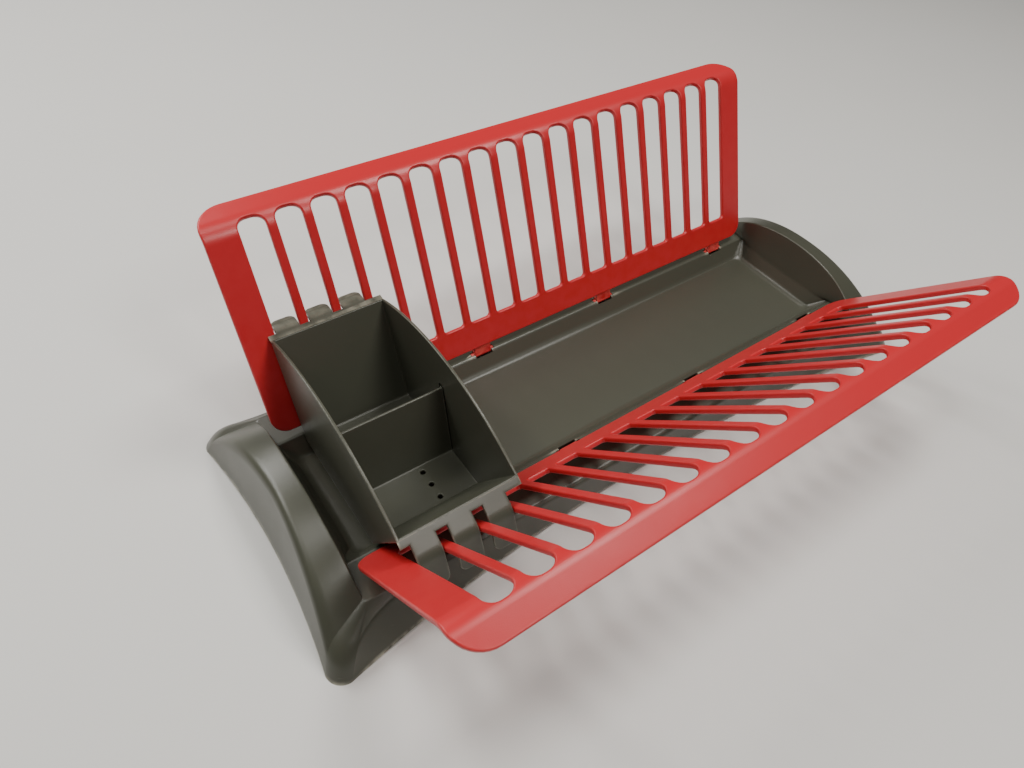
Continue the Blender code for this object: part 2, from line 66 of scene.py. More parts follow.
class Wire:
    """A socket of a finish's nodes. Sums written with wires become Math nodes."""

    def __init__(self, tree, socket=None):
        self.tree = tree
        self.socket = socket

    def node(self, kind, settings=None, values=None, output=0):
        """Adds a node, sets it, fills its sockets with values or wires, and gives one of its outputs."""
        made = self.tree.nodes.new("ShaderNode" + kind)
        for name, value in (settings or {}).items():
            setattr(made, name, value)
        for name, value in (values or {}).items():
            if isinstance(value, Wire):
                self.tree.links.new(value.socket, made.inputs[name])
            else:
                made.inputs[name].default_value = value
        return Wire(self.tree, made.outputs[output])

    def sum_of(self, operation, first, second):
        return self.node("Math", {"operation": operation}, {0: first, 1: second})

    def __add__(self, other):
        return self.sum_of("ADD", self, other)

    def __sub__(self, other):
        return self.sum_of("SUBTRACT", self, other)

    def __rsub__(self, other):
        return self.sum_of("SUBTRACT", other, self)

    def __mul__(self, other):
        return self.sum_of("MULTIPLY", self, other)

    __radd__ = __add__
    __rmul__ = __mul__


def noise(start, place, scale, detail, stretch=(1, 1, 1)):
    """Soft noise of a scale, drawn out along an axis where its stretch is under one."""
    drawn = start.node("Mapping", None, {"Vector": place, "Scale": stretch})
    values = {"Vector": drawn, "Scale": scale, "Detail": detail, "Roughness": noise_breakup}
    return start.node("TexNoise", None, values)


def blend(start, share, first, second):
    """A colour between two, by a share of the second. A Mix node's colour sockets go by their numbers."""
    return start.node("Mix", {"data_type": "RGBA"}, {0: share, 6: first, 7: second}, output=2)


floor_shape = bmesh.new()
bmesh.ops.create_grid(floor_shape, x_segments=1, y_segments=1, size=floor_half)
floor_mesh = bpy.data.meshes.new("studio_floor")
floor_shape.to_mesh(floor_mesh)
floor_shape.free()
studio_floor = bpy.data.objects.new("studio_floor", floor_mesh)
bpy.context.scene.collection.objects.link(studio_floor)
floor_finish = bpy.data.materials.new("pale_floor")
floor_finish.use_nodes = True
floor_shader = floor_finish.node_tree.nodes["Principled BSDF"]
floor_wire = Wire(floor_finish.node_tree)
floor_place = floor_wire.node("TexCoord", output="Object")
floor_clouds = noise(floor_wire, floor_place, floor_cloud_scale, detail=floor_cloud_detail)
floor_tone = blend(floor_wire, floor_clouds, *floor_tones)
floor_finish.node_tree.links.new(floor_tone.socket, floor_shader.inputs["Base Color"])
floor_shader.inputs["Roughness"].default_value = floor_roughness
floor_mesh.materials.append(floor_finish)

camera_data = bpy.data.cameras.new("camera")
camera_data.sensor_width = sensor_width
camera_data.lens = lens_length
camera_data.clip_start = nearest_seen
camera = bpy.data.objects.new("camera", camera_data)
camera.location = camera_place
camera.rotation_euler = camera_turn
bpy.context.scene.collection.objects.link(camera)
bpy.context.scene.camera = camera


def softbox(name, place, aim, size, power, colour):
    """A square studio light that points at a place."""
    data = bpy.data.lights.new(name, "AREA")
    data.shape = "SQUARE"
    data.size = size
    data.energy = power
    data.color = colour
    light = bpy.data.objects.new(name, data)
    light.location = place
    light.rotation_euler = (Vector(aim) - Vector(place)).to_track_quat("-Z", "Y").to_euler()
    bpy.context.scene.collection.objects.link(light)


softbox("key_light", (0.58, 0, 1.64), drainer_aim, size=0.5, power=13.5, colour=warm_light)
softbox("left_light", (-0.85, 0.1, 1.35), ridge_aim, size=0.3, power=2.4, colour=warm_light)
softbox("streak_light", (-0.86, 0.77, 1.18), ridge_aim, size=0.24, power=4.8, colour=warm_light)
softbox("top_light", (-0.27, -0.06, 1.5), band_aim, size=0.25, power=3.4, colour=warm_light)
softbox("window_light", (-0.45, 1.2, 1.08), well_aim, size=0.6, power=12, colour=window_tone)
softbox("front_light", (0.2, -1.0, 1.3), drainer_aim, size=0.36, power=7.5, colour=warm_light)
world = bpy.data.worlds.new("studio")
world.use_nodes = True
sky = world.node_tree.nodes["Background"]
sky.inputs["Color"].default_value = sky_tone
sky.inputs["Strength"].default_value = sky_strength
bpy.context.scene.world = world

# The grilles: two alike plates of red polypropylene, each moulded in one piece with 17 bars, a bottom
# rail with four lugs, and a top lip bent over outwards. The lugs' pins snap into cradles in the tray.
drainer_middle = 0.0216042
hinge_half = 0.0522
hinge_height = 0.0259
rear_lean = math.radians(22.84)
front_lean = math.radians(44.26)
bar_pitch = 0.022
bar_width = 0.0058
slot_width = bar_pitch - bar_width
slot_count = 18
stile_width = 0.0203
grille_length = 2 * stile_width + slot_count * bar_pitch - bar_width
rail_width = 0.0202
plate_thickness = 0.0037
plate_edge_round = 0.0011
rail_to_bend = 0.1257
bend_radius = 0.014
bend_angle = math.radians(60)
lip_length = 0.0115
lip_web = 0.0158
sheet_length = rail_to_bend + bend_radius * bend_angle + lip_length
rail_corner = 0.011
lip_corner = 0.018
slot_top_round = 0.0068
slot_foot_round = 0.0025
lug_places = (-0.184, -0.058, 0.058, 0.184)
lug_width = 0.0134
lug_drop = 0.006
lug_setback = 0.004
lug_skin = 0.0004
lug_root = 0.004
lug_foot_inner = -0.0021
lug_foot_outer = 0.0016
barrel_radius = 0.0022
pin_radius = 0.0016
pin_reach = 0.0026
bend_steps = 20
plate_round_steps = 3
plate_corner_steps = 10
slot_corner_steps = 8
barrel_sides = 28
pin_sides = 24
flat_angle = math.radians(0.5)
sharp_angle = math.radians(60)
shaded_sharp = math.radians(38)
weld_gap = 1e-6
mottle_scale = 22
mottle_range = (0.35, 0.7)
mottle_share = 0.3
mottle_roughness = 0.03
streak_scale = 60
streak_range = (0.4, 0.75)
streak_share = 0.15
streak_roughness = 0.02
speck_scale = 900
speck_range = (0.72, 0.8)
speck_share = 0.12
grain_scale = 2400
grain_roughness = 0.03
grain_strength = 0.35
grain_depth = 0.00012
wave_scale = 38
wave_strength = 0.25
wave_depth = 0.0006
# The pale line along edges is partly wear and partly a painted highlight, standing in for light caught by
# the edges.
edge_wear_and_sheen_range = (0.525, 0.6)
rub_and_sheen_scale = 130
rub_and_sheen_range = (0.3, 0.6)
rub_and_sheen_share = 0.85
rub_polish = 0.08
mean_unevenness = (mottle_roughness + streak_roughness + grain_roughness) / 2
plastic_ior = 1.49
plastic_specular = 0.55


def ramp(start, level, low, high):
    """A level stretched so that low becomes 0 and high becomes 1."""
    values = {"Value": level, "From Min": low, "From Max": high, "To Min": 0, "To Max": 1}
    return start.node("MapRange", {"clamp": True}, values)


def moulded_plastic(name, colour, deep, pale_dust_and_edge_sheen_tone, roughness, streak_along):
    """A satin moulded plastic from its colour, the deeper tone in its mottling, and the pale tone of its
    specks and its edges.

    Both plastics come from spark-eroded moulds: a fine grain, a slight waviness where walls sank, faint
    flow streaks along a direction, and a paler, smoother line along the edges, partly wear and partly a
    painted highlight where the edges catch the light.
    """
    made = bpy.data.materials.new(name)
    made.use_nodes = True
    made.diffuse_color = (*colour, 1)
    shader = made.node_tree.nodes["Principled BSDF"]
    start = Wire(made.node_tree)
    place = start.node("TexCoord", output="Object")
    mottle = ramp(start, noise(start, place, mottle_scale, detail=3), *mottle_range)
    streaks = ramp(start, noise(start, place, streak_scale, detail=2, stretch=streak_along), *streak_range)
    grain = noise(start, place, grain_scale, detail=1)
    waviness = noise(start, place, wave_scale, detail=1)
    specks = ramp(start, noise(start, place, speck_scale, detail=2), *speck_range)
    # Edges turn paler: partly wear, partly a painted highlight where the real edges catch the light.
    edges = ramp(start, start.node("NewGeometry", output="Pointiness"), *edge_wear_and_sheen_range)
    rubbed_and_sheen_edges = edges * ramp(start, noise(start, place, rub_and_sheen_scale, detail=3), *rub_and_sheen_range)
    body = blend(start, mottle * mottle_share + streaks * streak_share, (*colour, 1), (*deep, 1))
    dusty = blend(start, specks * speck_share, body, (*pale_dust_and_edge_sheen_tone, 1))
    final = blend(start, rubbed_and_sheen_edges * rub_and_sheen_share, dusty, (*pale_dust_and_edge_sheen_tone, 1))
    uneven = mottle * mottle_roughness + streaks * streak_roughness + grain * grain_roughness
    rough = uneven + (roughness - mean_unevenness) - rubbed_and_sheen_edges * rub_polish
    fine = {"Strength": grain_strength, "Distance": grain_depth, "Height": grain}
    broad = {"Strength": wave_strength, "Distance": wave_depth, "Height": waviness}
    waved = start.node("Bump", None, {**broad, "Normal": start.node("Bump", None, fine)})
    for socket, wire in (("Base Color", final), ("Roughness", rough), ("Normal", waved)):
        made.node_tree.links.new(wire.socket, shader.inputs[socket])
    shader.inputs["IOR"].default_value = plastic_ior
    shader.inputs["Specular IOR Level"].default_value = plastic_specular
    return made


red_plastic = moulded_plastic(
    "red_plastic",
    colour=(0.58, 0.02, 0.027),
    deep=(0.52, 0.016, 0.022),
    # Pale tone of the dust specks and of the edge line, which is partly wear and partly a painted highlight.
    pale_dust_and_edge_sheen_tone=(0.85, 0.12, 0.1),
    roughness=0.34,
    streak_along=(1, 0.15, 0.15),
)


def to_mesh(shape, name):
    """The mesh of a shape, with its faces turned outwards."""
    bmesh.ops.recalc_face_normals(shape, faces=shape.faces)
    mesh = bpy.data.meshes.new(name)
    shape.to_mesh(mesh)
    shape.free()
    return mesh


def cut(mesh, steps):
    """The shape of a mesh after Boolean steps, each an operation and the mesh it works with."""
    helpers = []
    target = bpy.data.objects.new("being_cut", mesh)
    bpy.context.scene.collection.objects.link(target)
    for operation, tool_mesh in steps:
        tool = bpy.data.objects.new("tool", tool_mesh)
        bpy.context.scene.collection.objects.link(tool)
        helpers.append(tool)
        step = target.modifiers.new("cut", "BOOLEAN")
        step.operation = operation
        step.solver = "EXACT"
        step.use_self = True
        step.object = tool
    graph = bpy.context.evaluated_depsgraph_get()
    result = bpy.data.meshes.new_from_object(target.evaluated_get(graph))
    for helper in [target, *helpers]:
        bpy.data.objects.remove(helper)
    shape = bmesh.new()
    shape.from_mesh(result)
    bpy.data.meshes.remove(result)
    return shape


def merge_flat(shape):
    """Merges the triangles of each flat face."""
    bmesh.ops.dissolve_limit(shape, angle_limit=flat_angle, verts=shape.verts, edges=shape.edges)


def add_box(shape, low, high):
    """Adds a box between two corners, and gives its points."""
    size = [top - bottom for bottom, top in zip(low, high)]
    middle = [(top + bottom) / 2 for bottom, top in zip(low, high)]
    place = Matrix.Translation(middle) @ Matrix.Diagonal((*size, 1))
    return bmesh.ops.create_cube(shape, size=1, matrix=place)["verts"]


def add_rod(shape, radius, length, place, along, sides):
    """Adds a round bar about a place, along X or along Z."""
    turn = Matrix.Rotation(math.pi / 2, 4, "Y") if along == "X" else Matrix.Identity(4)
    bmesh.ops.create_cone(
        shape,
        cap_ends=True,
        segments=sides,
        radius1=radius,
        radius2=radius,
        depth=length,
        matrix=Matrix.Translation(place) @ turn,
    )


def round_edges(shape, edges, radius, steps):
    """Rounds edges in a number of steps."""
    bmesh.ops.bevel(
        shape,
        geom=edges,
        offset=radius,
        offset_type="OFFSET",
        segments=steps,
        profile=0.5,
        affect="EDGES",
        material=-1,
        clamp_overlap=True,
    )


def upright_edges(points, thickness):
    """The edges through a flat shape's thickness that end at some of its points, in a fixed order."""
    edges = dict.fromkeys(edge for point in points if point.is_valid for edge in point.link_edges)
    return [edge for edge in edges if abs(edge.verts[0].co.z - edge.verts[1].co.z) > thickness / 2]


def flat_rim(shape, thickness):
    """The edges round a flat shape's outline and its openings, on both of its faces."""
    return [
        edge
        for edge in shape.edges
        if edge.calc_face_angle(0) > sharp_angle
        and abs(edge.verts[0].co.z - edge.verts[1].co.z) < thickness / 2
    ]


def split_bend(shape, start, length, steps):
    """Splits a flat shape across Y into the steps in which it is to bend."""
    for i in range(steps + 1):
        geometry = shape.verts[:] + shape.edges[:] + shape.faces[:]
        place = (0, start + length * i / steps, 0)
        bmesh.ops.bisect_plane(shape, geom=geometry, plane_co=place, plane_no=(0, 1, 0), dist=weld_gap)


def show(name, mesh, finish, body):
    """Makes a finished piece of a mesh: shaded smooth but for its sharp edges, on the body it moves with."""
    mesh.name = name
    mesh.materials.clear()
    mesh.materials.append(finish)
    mesh.shade_smooth()
    mesh.set_sharp_from_angle(angle=shaded_sharp)
    made = bpy.data.objects.new(name, mesh)
    bpy.context.scene.collection.objects.link(made)
    flatter = made.modifiers.new("flat_faces_stay_flat", "WEIGHTED_NORMAL")
    flatter.keep_sharp = True
    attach(made, body)
    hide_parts(body)


def round_corners(shape, points, radii, steps):
    """Rounds a box's upright edges, by the radii of its (low, high) ends in Y."""
    middle = sum(point.co.y for point in points) / len(points)
    for high, radius in enumerate(radii):
        upright = upright_edges(points, plate_thickness)
        end = [edge for edge in upright if (edge.verts[0].co.y > middle) == bool(high)]
        round_edges(shape, end, radius, steps)


def bend_place(along, depth):
    """Where a point of the grille's plate goes, outward and up from the pivot."""
    if along <= rail_to_bend:
        return Vector((depth - lug_setback, along + lug_drop))
    turned = min((along - rail_to_bend) / bend_radius, bend_angle)
    centre = Vector((bend_radius - lug_setback, rail_to_bend + lug_drop))
    radial = Vector((-math.cos(turned), math.sin(turned)))
    past = max(0, along - rail_to_bend - bend_radius * bend_angle)
    onward = past * Vector((math.sin(turned), math.cos(turned)))
    return centre + (bend_radius - depth) * radial + onward


def grille_mesh():
    """A grille in its own frame: its pins along X at the origin, its plate up Z, the lip towards Y."""
    half = grille_length / 2
    blank = bmesh.new()
    corners = add_box(blank, (-half, 0, 0), (half, sheet_length, plate_thickness))
    round_corners(blank, corners, (rail_corner, lip_corner), plate_corner_steps)
    slots = bmesh.new()
    for i in range(slot_count):
        left = -half + stile_width + i * bar_pitch
        low = (left, rail_width, -plate_thickness)
        high = (left + slot_width, sheet_length - lip_web, 2 * plate_thickness)
        corners = add_box(slots, low, high)
        round_corners(slots, corners, (slot_foot_round, slot_top_round), slot_corner_steps)
    shape = cut(to_mesh(blank, "blank"), [("DIFFERENCE", to_mesh(slots, "slots"))])
    merge_flat(shape)
    round_edges(shape, flat_rim(shape, plate_thickness), plate_edge_round, plate_round_steps)
    split_bend(shape, rail_to_bend, bend_radius * bend_angle, bend_steps)
    for point in shape.verts:
        point.co = (point.co.x, *bend_place(point.co.y, point.co.z))
    for place in lug_places:
        add_lug(shape, place)
    return shape


def add_lug(shape, place):
    """Adds a lug: a tapered tab under the rail, its round barrel, and the pin through it."""
    inner = -lug_setback + lug_skin
    outer = -lug_setback + plate_thickness - lug_skin
    low = (place - lug_width / 2, inner, 0)
    for point in add_box(shape, low, (place + lug_width / 2, outer, lug_drop + lug_root)):
        if point.co.z < lug_drop / 2:
            point.co.y = lug_foot_inner if point.co.y < (inner + outer) / 2 else lug_foot_outer
    add_rod(shape, barrel_radius, lug_width, (place, 0, 0), "X", barrel_sides)
    add_rod(shape, pin_radius, lug_width + 2 * pin_reach, (place, 0, 0), "X", pin_sides)


def place_grille(name, lean, turned):
    """Makes a grille and stands it on its hinge line, leaning outwards, the front one turned about."""
    shape = grille_mesh()
    side = -hinge_half if turned else hinge_half
    stand = Matrix.Translation((0, drainer_middle + side, hinge_height))
    turn = Matrix.Rotation(math.pi if turned else 0, 4, "Z") @ Matrix.Rotation(-lean, 4, "X")
    bmesh.ops.transform(shape, matrix=stand @ turn, verts=shape.verts)
    show(name + "_plate", to_mesh(shape, name), red_plastic, name)


place_grille("rear_grille", rear_lean, turned=False)
place_grille("front_grille", front_lean, turned=True)

# The tray: one grey shell, moulded open underneath, with a well that catches the drips, two flat rims
# with notches and snap-in cradles for the grilles' pins, and two arched ends that run down to the feet.
tray_wall = 0.0024
well_floor_height = 0.016
well_half_length = 0.209
end_wall_draw = 0.0055
well_half_depth = 0.0405
well_corner = 0.006
rim_height = 0.0275
rim_inner_half = 0.049
rim_outer_half = 0.0755
rim_half_length = 0.2198
end_lean_share = 0.03
arch_height = 0.054
arch_radius = 0.138
ridge_half_length = 0.2368
ridge_flare = 0.0099
ridge_height = 0.0528
ridge_radius = 0.116
nose_height = 0.0135
nose_half_depth = 0.0935
nose_corner = 0.011
nose_round = 0.009
ridge_round = 0.005
skirt_edge_height = 0.0262
skirt_edge_out = 0.0028
edge_round = 0.0022
side_half_length = 0.246
side_flare = 0.0075
skirt_half_depth = 0.079
skirt_flare = 0.0213
foot_corner = 0.0105
skirt_lift = 0.0024
foot_pad_radius = 0.0085
foot_pad_height = 0.004
foot_pad_inset = 0.0108
long_steps = 30
corner_steps = 10
short_steps = 26
ring_steps = long_steps + corner_steps + short_steps
under_evening = 2
flare_power = 2.2
ridge_power = 1.6
corner_power = 7
nose_power = 14
step_power = 0.8
bow_limit = 0.55
mitre_limit = 0.7
rim_outer_round = 0.0011
rim_inner_round = 0.0016
well_foot_round = 0.0042
least_under_round = 0.0008
skirt_rows = (0.1, 0.22, 0.34)
slope_rows = (1 / 3, 2 / 3)
rim_rows = (0.35, 0.65)
edge_steps = 10
rim_steps = 4
well_foot_steps = 5
under_steps = 5
well_inward = (0.6, 0.3)
grey_plastic = moulded_plastic(
    "grey_plastic",
    colour=(0.069, 0.071, 0.052),
    deep=(0.06, 0.062, 0.046),
    # Pale tone of the dust specks and of the edge line, which is partly wear and partly a painted highlight.
    pale_dust_and_edge_sheen_tone=(0.52, 0.5, 0.4),
    roughness=0.335,
    streak_along=(0.15, 1, 1),
)


def arc_at(top, radius, y):
    """The height of an arc over the middle of the tray's depth."""
    return top - radius + math.sqrt(radius**2 - y**2)


def ring_share(step):
    """Where a step of a quarter ring round the tray is: on the long side, round the corner or on the end.

    The share runs up to the corner on the long side, round it, and up to the corner from the end's middle.
    """
    if step <= long_steps:
        return "long", math.sin(math.pi / 2 * step / long_steps) ** step_power
    if step < long_steps + corner_steps:
        return "corner", (step - long_steps) / corner_steps
    return "end", math.sin(math.pi / 2 * (ring_steps - step) / short_steps)


def ring_point(step, half_length, half_depth, corner, long_side, short_side):
    """A point of a quarter ring. Its sides give a shift outward and a height at a share."""
    side, share = ring_share(step)
    if side == "long":
        shift, height = long_side(share)
        return Vector(((half_length - corner) * share, half_depth + shift, height))
    if side == "end":
        shift, height = short_side(share)
        return Vector((half_length + shift, (half_depth - corner) * share, height))
    start = ring_point(long_steps, half_length, half_depth, corner, long_side, short_side)
    end = ring_point(long_steps + corner_steps, half_length, half_depth, corner, long_side, short_side)
    x = start.x + (end.x - start.x) * math.sin(math.pi / 2 * share)
    y = end.y + (start.y - end.y) * math.cos(math.pi / 2 * share)
    return Vector((x, y, start.z + (end.z - start.z) * share))


def foot_ring(step):
    """The skirt's foot, which lifts off the ground between the four feet."""

    def along(share):
        return skirt_flare * (share**flare_power - 1), skirt_lift * (1 - share**corner_power)

    def across(share):
        return side_flare * (share**2 - 1), skirt_lift * (1 - share**corner_power)

    return ring_point(
        step, side_half_length + side_flare, skirt_half_depth + skirt_flare, foot_corner, along, across
    )


def edge_ring(step):
    """The edge over the skirt, which turns into the ridge of the arched ends and dips to the four noses."""

    def along(share):
        out = rim_outer_half + skirt_edge_out - nose_half_depth
        fall = skirt_edge_height - nose_height
        return out * (1 - share**nose_power), nose_height + fall * (1 - share**nose_power)

    def across(share):
        height = arc_at(ridge_height, ridge_radius, (nose_half_depth - nose_corner) * share)
        return ridge_flare * (share**ridge_power - 1), height

    return ring_point(step, ridge_half_length + ridge_flare, nose_half_depth, nose_corner, along, across)


def rim_ring(step):
    """The rims' outer edges, and the top edge of the arched end walls."""

    def along(share):
        return 0, rim_height

    def across(share):
        arch = arc_at(arch_height, arch_radius, (rim_outer_half - edge_round) * share)
        height = arch + (rim_height - arch) * share**corner_power
        return end_lean_share * (height - rim_height), height

    return ring_point(step, rim_half_length, rim_outer_half, edge_round, along, across)


def inner_ring(step):
    """The rims' inner edges, and across the ends a line on the wall that leans down into the well."""

    def along(share):
        return 0, rim_height

    def across(share):
        return end_wall_draw * (share**corner_power - 1), rim_height

    return ring_point(step, rim_half_length, rim_inner_half, edge_round, along, across)


def floor_ring(step):
    """The edge of the well's floor."""

    def flat(share):
        return 0, well_floor_height

    return ring_point(step, well_half_length, well_half_depth, well_corner, flat, flat)


def round_at(step):
    """How round the edge under the top is: tight along the skirt, full at the nose, softer on the ridge."""
    side, share = ring_share(step)
    if side == "long":
        return edge_round + (nose_round - edge_round) * share**nose_power
    if side == "end":
        return ridge_round + (nose_round - ridge_round) * share**2
    return nose_round


def bow(before, corner, after, radius, steps):
    """Points of the round that replaces a corner, from the side before it to the side after it."""
    back, on = before - corner, after - corner
    start = corner + back.normalized() * min(radius, back.length * bow_limit)
    end = corner + on.normalized() * min(radius, on.length * bow_limit)
    shares = [part / steps for part in range(steps + 1)]
    return [start * (1 - share) ** 2 + corner * 2 * share * (1 - share) + end * share**2 for share in shares]


def corner_rings(step):
    """The corners of the tray's section at one place round it, from the skirt's foot to the well's floor."""
    return [foot_ring(step), edge_ring(step), rim_ring(step), inner_ring(step), floor_ring(step)]


def upper_column(step):
    """The tray's upper face at one place round it, with each corner rounded."""
    foot, edge, rim, inner, floor = corner_rings(step)
    over = bow(foot, edge, rim, round_at(step), edge_steps)
    rim_round = bow(edge, rim, inner, rim_outer_round, rim_steps)
    well_middle = Vector((floor.x * well_inward[0], floor.y * well_inward[1], floor.z))
    return [
        foot,
        *[foot.lerp(edge, part) for part in skirt_rows],
        *over,
        *[over[-1].lerp(rim_round[0], part) for part in slope_rows],
        *rim_round,
        *[rim.lerp(inner, part) for part in rim_rows],
        *bow(rim, inner, floor, rim_inner_round, rim_steps),
        *bow(inner, floor, well_middle, well_foot_round, well_foot_steps),
    ]


def drawn_in(step):
    """The corners of the tray's section at one place round it, drawn in by the wall."""
    corners = corner_rings(step)
    before, after = corner_rings(max(step - 1, 0)), corner_rings(min(step + 1, ring_steps))
    outward = []
    for i in range(len(corners) - 1):
        along = (after[i] - before[i]).normalized() + (after[i + 1] - before[i + 1]).normalized()
        normal = (corners[i + 1] - corners[i]).cross(along)
        if step == 0:
            normal.x = 0
        if step == ring_steps:
            normal.y = 0
        outward.append(normal.normalized())
    outward.append(Vector((0, 0, 1)))
    level = Vector((outward[0].x, outward[0].y, 0))
    drawn = [corners[0] - level * (tray_wall / level.length**2)]
    for i in range(1, len(corners)):
        half_way = (outward[i - 1] + outward[i]).normalized()
        drawn.append(corners[i] - half_way * (tray_wall / max(half_way.dot(outward[i]), mitre_limit)))
    return drawn


def under_column(step):
    """The tray's under face at one place round it, evened out with its neighbours so that it never folds."""
    reach = min(under_evening, step, ring_steps - step)
    near = [drawn_in(step + shift) for shift in range(-reach, reach + 1)]
    foot, edge, rim, inner, floor = [sum(points, Vector((0, 0, 0))) / len(near) for points in zip(*near)]
    round_in = max(round_at(step) - tray_wall, least_under_round)
    return [foot, *bow(foot, edge, rim, round_in, under_steps), rim, inner, floor]


def quarter_sheet(shape, column):
    """Adds a quarter of one of the tray's faces: a grid whose columns follow a section round the tray."""
    columns = [column(step) for step in range(ring_steps + 1)]
    rows = len(columns[0]) - 1
    grid = bmesh.ops.create_grid(shape, x_segments=ring_steps, y_segments=rows, size=1)["verts"]
    for point in grid:
        step = round((point.co.x + 1) / 2 * ring_steps)
        point.co = columns[step][round((point.co.y + 1) / 2 * rows)]


def tray_shell():
    """The tray's shell as a closed solid: an upper and an under face that meet round the skirt's foot."""
    shape = bmesh.new()
    quarter_sheet(shape, upper_column)
    quarter_sheet(shape, under_column)
    for axis in ("X", "Y"):
        whole = shape.verts[:] + shape.edges[:] + shape.faces[:]
        bmesh.ops.mirror(shape, geom=whole, axis=axis, merge_dist=weld_gap)
        bmesh.ops.remove_doubles(shape, verts=shape.verts, dist=weld_gap)
    open_edges = [edge for edge in shape.edges if edge.is_boundary]
    foot_reach = side_half_length - side_flare - tray_wall
    foot_edges = [
        edge
        for edge in open_edges
        if abs(edge.verts[0].co.x) > foot_reach or abs(edge.verts[0].co.y) > well_half_depth + tray_wall * 2
    ]
    floor_edges = [edge for edge in open_edges if edge not in foot_edges]
    bmesh.ops.bridge_loops(shape, edges=foot_edges)
    bmesh.ops.holes_fill(shape, edges=floor_edges)
    return to_mesh(shape, "shell")


notch_play = 0.0008
notch_width = lug_width + notch_play
notch_setback = 0.0043
notch_depth = 0.0074
cut_overrun = 0.002
pin_end_play = 0.0004
cradle_span = lug_width + 2 * (pin_reach + pin_end_play)
cradle_width = 0.005
cradle_depth = 0.008
cradle_drop = 0.0062
under_rim = rim_height - tray_wall
seat_play = 0.0003
seat_radius = pin_radius + seat_play
pad_sides = 48
ground_half_length = 0.4
ground_half_depth = 0.2
ground_depth = 0.01
sliver_size = 1e-5
cradles, notches, pads, ground = bmesh.new(), bmesh.new(), bmesh.new(), bmesh.new()
for side in (-1, 1):
    line = side * hinge_half
    inner = line - side * notch_setback
    outer = inner + side * notch_depth
    for place in lug_places:
        for end in (-1, 1):
            near = place + end * notch_width / 2
            far = near + end * cradle_width
            add_box(
                cradles,
                (min(near, far), line - cradle_depth / 2, under_rim - cradle_drop),
                (max(near, far), line + cradle_depth / 2, under_rim + tray_wall / 3),
            )
        add_box(
            notches,
            (place - notch_width / 2, min(inner, outer), under_rim - cradle_drop - cut_overrun),
            (place + notch_width / 2, max(inner, outer), rim_height + cut_overrun),
        )
        add_rod(notches, seat_radius, cradle_span, (place, line, hinge_height), "X", pin_sides)
        add_box(
            notches,
            (place - cradle_span / 2, line - seat_radius, hinge_height),
            (place + cradle_span / 2, line + seat_radius, rim_height + cut_overrun),
        )
    for end in (-1, 1):
        pad_place = (
            end * (side_half_length + side_flare - foot_pad_inset),
            side * (skirt_half_depth + skirt_flare - foot_pad_inset),
            foot_pad_height / 2,
        )
        add_rod(pads, foot_pad_radius, foot_pad_height, pad_place, "Z", pad_sides)
add_box(
    ground,
    (-ground_half_length, -ground_half_depth, -ground_depth),
    (ground_half_length, ground_half_depth, 0),
)
tray = cut(
    tray_shell(),
    [
        ("UNION", to_mesh(pads, "pads")),
        ("DIFFERENCE", to_mesh(ground, "ground")),
        ("UNION", to_mesh(cradles, "cradles")),
        ("DIFFERENCE", to_mesh(notches, "notches")),
    ],
)
bmesh.ops.remove_doubles(tray, verts=tray.verts, dist=sliver_size)
bmesh.ops.dissolve_degenerate(tray, edges=tray.edges, dist=sliver_size)
bmesh.ops.transform(tray, matrix=Matrix.Translation((0, drainer_middle, 0)), verts=tray.verts)
show("base_tray_shell", to_mesh(tray, "tray"), grey_plastic, "base_tray")

# The cutlery holder: a thin-walled grey box with two compartments, open at the top. Its front and rear
# walls lean with the grilles, and a slotted flange on each hooks between the first bars to carry it.
holder_inset = 0.0155
holder_length = 0.0755
holder_left = -grille_length / 2 + holder_inset
holder_right = holder_left + holder_length
holder_wall = 0.0018
holder_floor = 0.0018
holder_base_height = 0.0295
holder_base_front = 0.047
holder_base_rear = 0.0415
holder_front_reach = 0.0805
holder_front_height = 0.0795
holder_rear_reach = 0.0715
holder_rear_height = 0.0932
holder_arch_radius = 0.169
holder_corner = 0.003
holder_edge_round = 0.0006
divider_wall = 0.0016
divider_foot_place = 0.0149
divider_top_place = 0.0025
divider_height = 0.0794
divider_foot_round = 0.0012
room_corner = 0.0022
body_round_steps = 3
arch_steps = 36
outline_steps = 6
room_steps = 5
divider_steps = 4
flange_thickness = 0.0018
flange_turn = 0.016
flange_tip_round = 0.0045
flange_set_in = holder_wall * 0.6
flange_sink = 0.00015
flange_steps = 12
flange_round_steps = 2
tip_steps = 7
tongue_count = 3
bar_clearance = 0.0004
drain_radius = 0.0016
drain_pitch = 0.0105
drain_inset = 0.0263
drain_sides = 20
# Margin that keeps the pale edge line, partly wear and partly a painted highlight, to the edges.
wear_and_sheen_margin = 0.0012
rounded_sharp = math.radians(35)
least_wall_face = 1e-4
least_strip_face = 1e-3
level_normal = 0.9


def frame_faces(shape, faces):
    """Insets large faces by a narrow margin, so that the pale edge line, partly wear and partly a painted
    highlight, keeps to their edges.
    """
    bmesh.ops.inset_individual(shape, faces=faces, thickness=wear_and_sheen_margin, use_even_offset=True)


def turn_corner(before, corner, after, radius, steps):
    """Points that round a corner of an outline."""
    into = (before - corner).normalized()
    out = (after - corner).normalized()
    half = into.angle(out) / 2
    centre = corner + (into + out).normalized() * (radius / math.sin(half))
    start = corner + into * (radius / math.tan(half)) - centre
    sweep = start.angle_signed(corner + out * (radius / math.tan(half)) - centre)
    return [centre + Matrix.Rotation(-sweep * i / steps, 2) @ start for i in range(steps + 1)]


